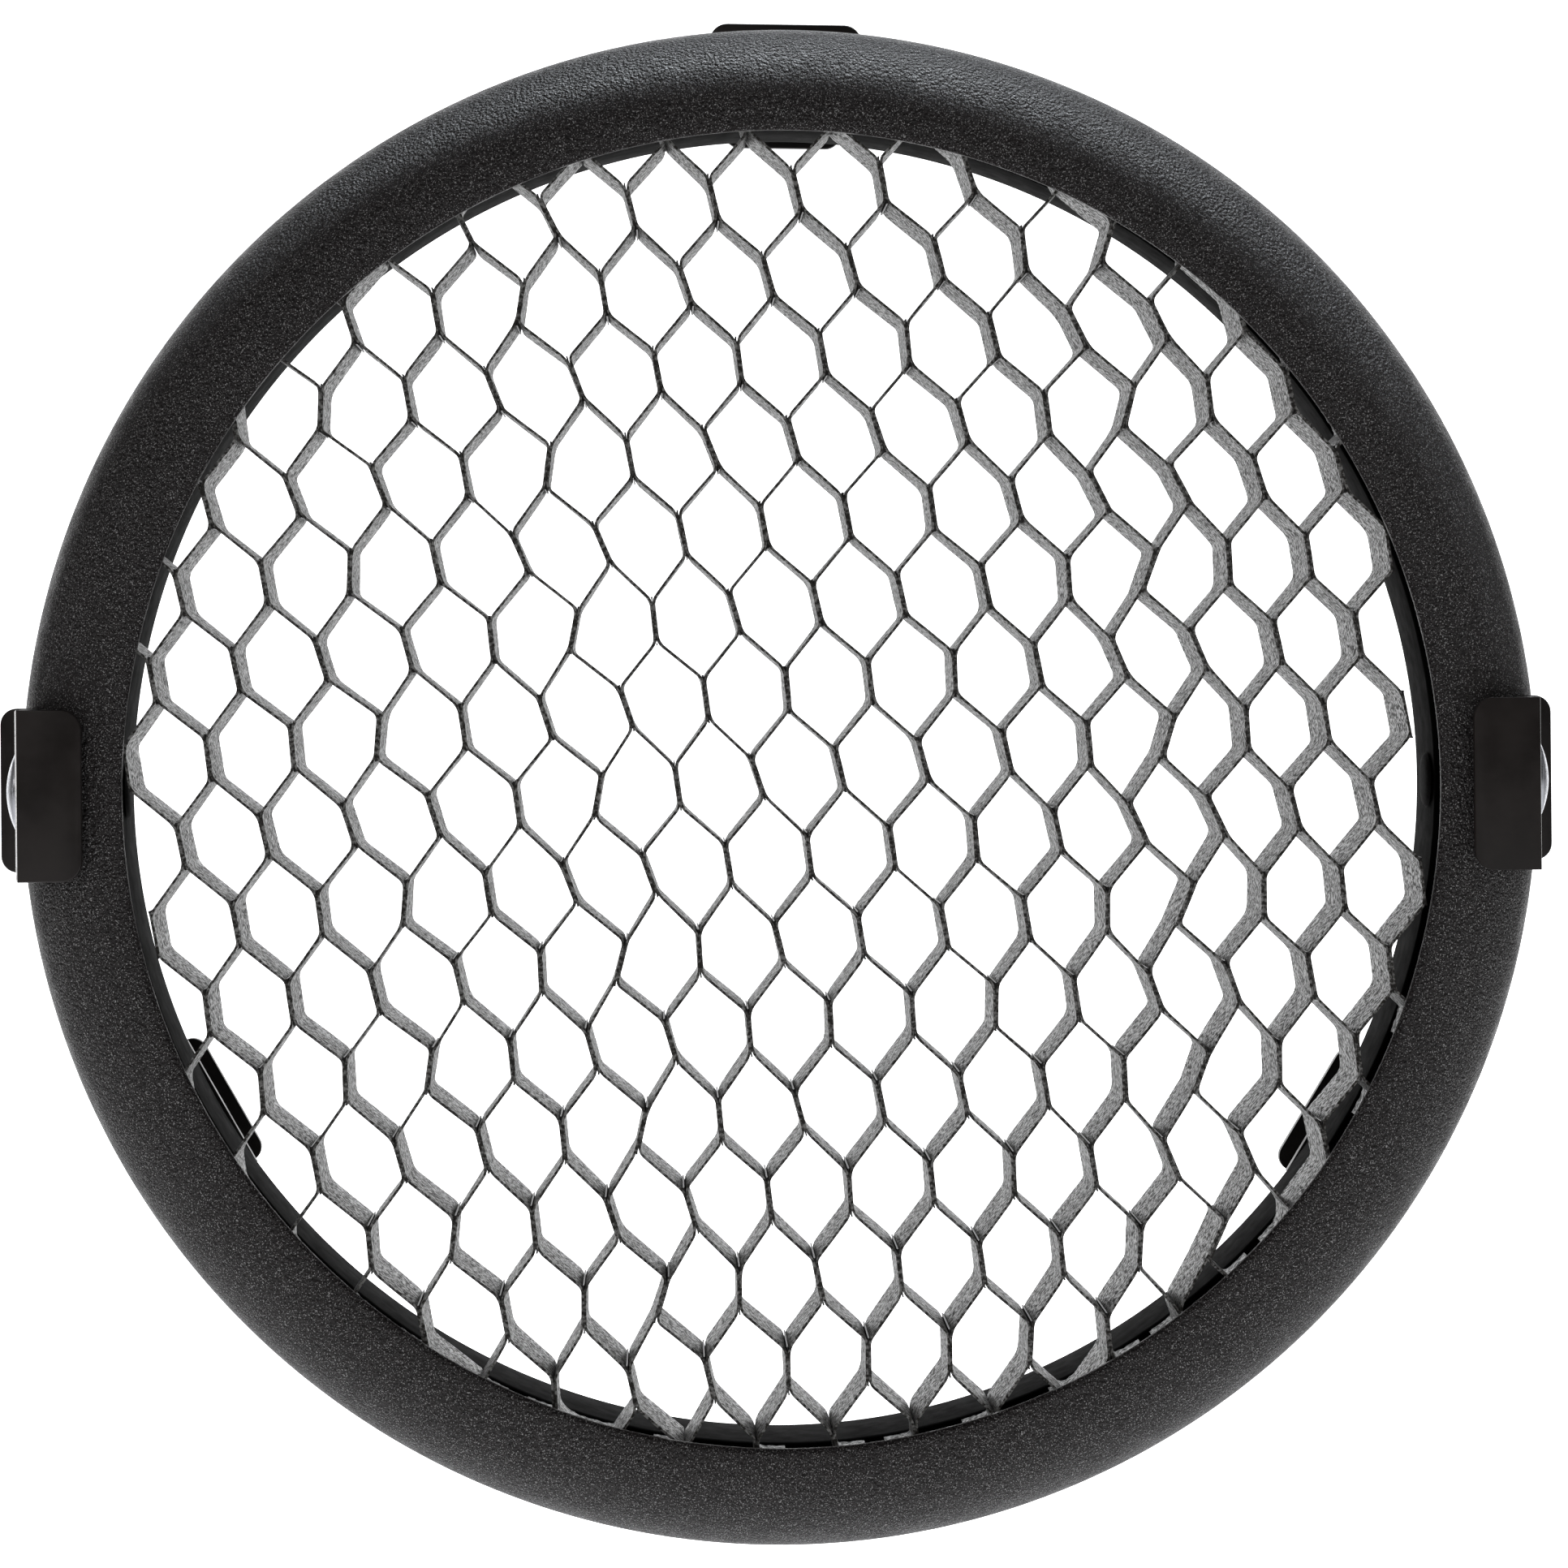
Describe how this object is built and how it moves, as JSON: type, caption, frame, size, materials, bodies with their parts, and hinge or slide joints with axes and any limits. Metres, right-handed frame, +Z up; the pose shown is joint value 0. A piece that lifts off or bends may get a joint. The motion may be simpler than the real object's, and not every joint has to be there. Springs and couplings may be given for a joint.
{
  "type": "honeycomb grid",
  "caption": "Round honeycomb light grid: foil core in a thick textured ring, with side clips, rear hooks and a sliding catch that hold it on a studio reflector.",
  "frame": {"origin": "on the ring's axis, in the plane of the rear face that seats on the reflector's rim", "axes": "+Z up, +X to the right seen from the front, +Y along the ring's axis towards the reflector; light leaves along -Y"},
  "size_m": [0.1804, 0.0379, 0.1747],
  "materials": {
    "crinkle_paint": "black crinkle powder coat",
    "satin_black": "smooth satin black",
    "foil_paint": "thin speckled black paint on aluminium foil",
    "spring_black": "smooth satin black spring steel",
    "bright_steel": "polished steel",
    "dark_steel": "blackened steel"
  },
  "bodies": {
    "ring": {"bezel": "crinkle_paint", "catch_rail_left": "spring_black", "catch_rail_right": "spring_black", "catch_rivet_left": "dark_steel", "catch_rivet_right": "dark_steel", "clip_bush_left": "dark_steel", "clip_bush_right": "dark_steel", "clip_rivet_left": "bright_steel", "clip_rivet_right": "bright_steel", "core_foil_01": "foil_paint", "core_foil_02": "foil_paint", "core_foil_03": "foil_paint", "core_foil_04": "foil_paint", "core_foil_05": "foil_paint", "core_foil_06": "foil_paint", "core_foil_07": "foil_paint", "core_foil_08": "foil_paint", "core_foil_09": "foil_paint", "core_foil_10": "foil_paint", "core_foil_11": "foil_paint", "core_foil_12": "foil_paint", "core_foil_13": "foil_paint", "core_foil_14": "foil_paint", "core_foil_15": "foil_paint", "core_foil_16": "foil_paint", "core_foil_17": "foil_paint", "core_foil_18": "foil_paint", "core_foil_19": "foil_paint", "core_foil_20": "foil_paint", "core_foil_21": "foil_paint", "core_foil_22": "foil_paint", "core_foil_23": "foil_paint", "core_foil_24": "foil_paint", "core_foil_25": "foil_paint", "core_foil_26": "foil_paint", "core_foil_27": "foil_paint", "core_foil_28": "foil_paint", "core_foil_29": "foil_paint", "core_foil_30": "foil_paint", "core_foil_31": "foil_paint", "drum": "satin_black", "hook_left": "spring_black", "hook_right": "spring_black", "hook_rivet_left_a": "dark_steel", "hook_rivet_left_b": "dark_steel", "hook_rivet_right_a": "dark_steel", "hook_rivet_right_b": "dark_steel"},
    "clip_left": {"clip_left": "spring_black"},
    "clip_right": {"clip_right": "spring_black"},
    "catch": {"catch_slide": "spring_black"}
  },
  "joints": [
    {"name": "clip_right_rock", "type": "hinge", "parent": "ring", "child": "clip_right", "pos_m": [0.08385, -0.0084, 0], "axis": [0, 0, 1], "range_deg": [0, 8], "stiffness_Nm_per_rad": 0.25, "springref_deg": -2.86},
    {"name": "clip_left_rock", "type": "hinge", "parent": "ring", "child": "clip_left", "pos_m": [-0.08385, -0.0084, 0], "axis": [0, 0, -1], "range_deg": [0, 8], "stiffness_Nm_per_rad": 0.25, "springref_deg": -2.86},
    {"name": "catch_slide_out", "type": "slide", "parent": "ring", "child": "catch", "axis": [0.0227, 0, 0.9997], "range_m": [0, 0.0032]}
  ]
}
